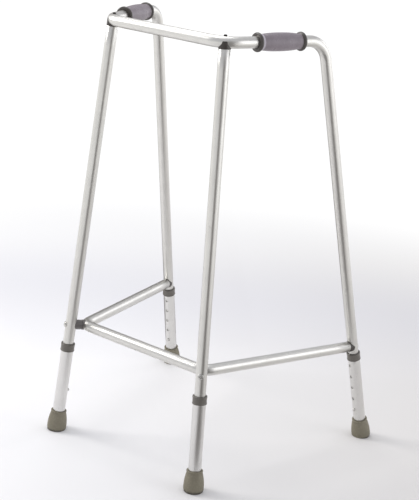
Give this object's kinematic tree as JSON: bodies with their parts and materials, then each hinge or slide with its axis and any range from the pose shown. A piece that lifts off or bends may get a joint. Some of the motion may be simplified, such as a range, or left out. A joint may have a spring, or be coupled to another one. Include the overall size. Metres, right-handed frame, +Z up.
{
  "type": "walking frame",
  "caption": "Rigid walking frame with a bent upper tube and two front legs, a lower brace, moulded grips and spring-button adjustable legs on rubber feet.",
  "frame": {"origin": "on the floor, at the middle of the box round the four feet", "axes": "+Z up; -Y to the front, the way the user walks; +X to the user's left"},
  "size_m": [0.5834, 0.5134, 0.8853],
  "materials": {
    "upper_tube_aluminium": "satin anodised",
    "lower_tube_aluminium": "satin anodised",
    "ferrule_rubber": "matt moulded rubber",
    "collar_plastic": "fine moulded texture",
    "grip_vinyl": "soft moulded vinyl",
    "plug_plastic": "moulded nylon",
    "glide_nylon": "moulded nylon",
    "plated_steel": "zinc plated",
    "bright_steel": "bright plated",
    "blackened_steel": "blackened",
    "spring_steel": "tempered strip"
  },
  "bodies": {
    "frame": {"main_frame_tube": "upper_tube_aluminium", "front_leg_tube_left": "upper_tube_aluminium", "front_leg_tube_right": "upper_tube_aluminium", "saddle_plug_left": "plug_plastic", "saddle_plug_right": "plug_plastic", "saddle_screws": "blackened_steel", "brace_tube": "upper_tube_aluminium", "brace_spacer_left": "plug_plastic", "brace_spacer_right": "plug_plastic", "brace_bolts": "bright_steel", "brace_nuts": "bright_steel", "brace_end_plug_left": "plug_plastic", "brace_end_plug_right": "plug_plastic", "brace_end_screws": "bright_steel", "handgrip_left": "grip_vinyl", "handgrip_right": "grip_vinyl", "inner_tube_glide_front_left": "glide_nylon", "inner_tube_glide_front_right": "glide_nylon", "inner_tube_glide_rear_left": "glide_nylon", "inner_tube_glide_rear_right": "glide_nylon", "snap_spring_front_left": "spring_steel", "snap_spring_front_right": "spring_steel", "snap_spring_rear_left": "spring_steel", "snap_spring_rear_right": "spring_steel"},
    "front_left_leg": {"lower_leg_tube_front_left": "lower_tube_aluminium", "leg_collar_front_left": "collar_plastic", "ferrule_front_left": "ferrule_rubber", "ferrule_washer_front_left": "plated_steel"},
    "front_left_button": {"snap_button_front_left": "bright_steel"},
    "front_right_leg": {"lower_leg_tube_front_right": "lower_tube_aluminium", "leg_collar_front_right": "collar_plastic", "ferrule_front_right": "ferrule_rubber", "ferrule_washer_front_right": "plated_steel"},
    "front_right_button": {"snap_button_front_right": "bright_steel"},
    "rear_left_leg": {"lower_leg_tube_rear_left": "lower_tube_aluminium", "leg_collar_rear_left": "collar_plastic", "ferrule_rear_left": "ferrule_rubber", "ferrule_washer_rear_left": "plated_steel"},
    "rear_left_button": {"snap_button_rear_left": "bright_steel"},
    "rear_right_leg": {"lower_leg_tube_rear_right": "lower_tube_aluminium", "leg_collar_rear_right": "collar_plastic", "ferrule_rear_right": "ferrule_rubber", "ferrule_washer_rear_right": "plated_steel"},
    "rear_right_button": {"snap_button_rear_right": "bright_steel"}
  },
  "joints": [
    {"name": "front_left_height", "type": "slide", "parent": "frame", "child": "front_left_leg", "axis": [0.0578, -0.0523, -0.997], "range_m": [-0.0273, 0.0819], "deforming": ["snap_button_front_left", "snap_spring_front_left"]},
    {"name": "front_right_height", "type": "slide", "parent": "frame", "child": "front_right_leg", "axis": [-0.0578, -0.0523, -0.997], "range_m": [-0.0273, 0.0819], "deforming": ["snap_button_front_right", "snap_spring_front_right"]},
    {"name": "rear_left_height", "type": "slide", "parent": "frame", "child": "rear_left_leg", "axis": [0.0682, 0.2408, -0.9682], "range_m": [0, 0.1092], "deforming": ["snap_button_rear_left", "snap_spring_rear_left"]},
    {"name": "rear_right_height", "type": "slide", "parent": "frame", "child": "rear_right_leg", "axis": [-0.0682, 0.2408, -0.9682], "range_m": [0, 0.1092], "deforming": ["snap_button_rear_right", "snap_spring_rear_right"]},
    {"name": "front_left_button_press", "type": "slide", "parent": "frame", "child": "front_left_button", "axis": [0.5121, -0.8556, 0.0746], "range_m": [0, 0.0052], "stiffness_N_per_m": 1500, "springref_m": -0.004, "deforming": ["snap_spring_front_left"]},
    {"name": "front_right_button_press", "type": "slide", "parent": "frame", "child": "front_right_button", "axis": [-0.5121, -0.8556, 0.0746], "range_m": [0, 0.0052], "stiffness_N_per_m": 1500, "springref_m": -0.004, "deforming": ["snap_spring_front_right"]},
    {"name": "rear_left_button_press", "type": "slide", "parent": "frame", "child": "rear_left_button", "axis": [0.2322, 0.94, 0.2501], "range_m": [0, 0.0052], "stiffness_N_per_m": 1500, "springref_m": -0.004, "deforming": ["snap_spring_rear_left"]},
    {"name": "rear_right_button_press", "type": "slide", "parent": "frame", "child": "rear_right_button", "axis": [-0.2322, 0.94, 0.2501], "range_m": [0, 0.0052], "stiffness_N_per_m": 1500, "springref_m": -0.004, "deforming": ["snap_spring_rear_right"]}
  ]
}
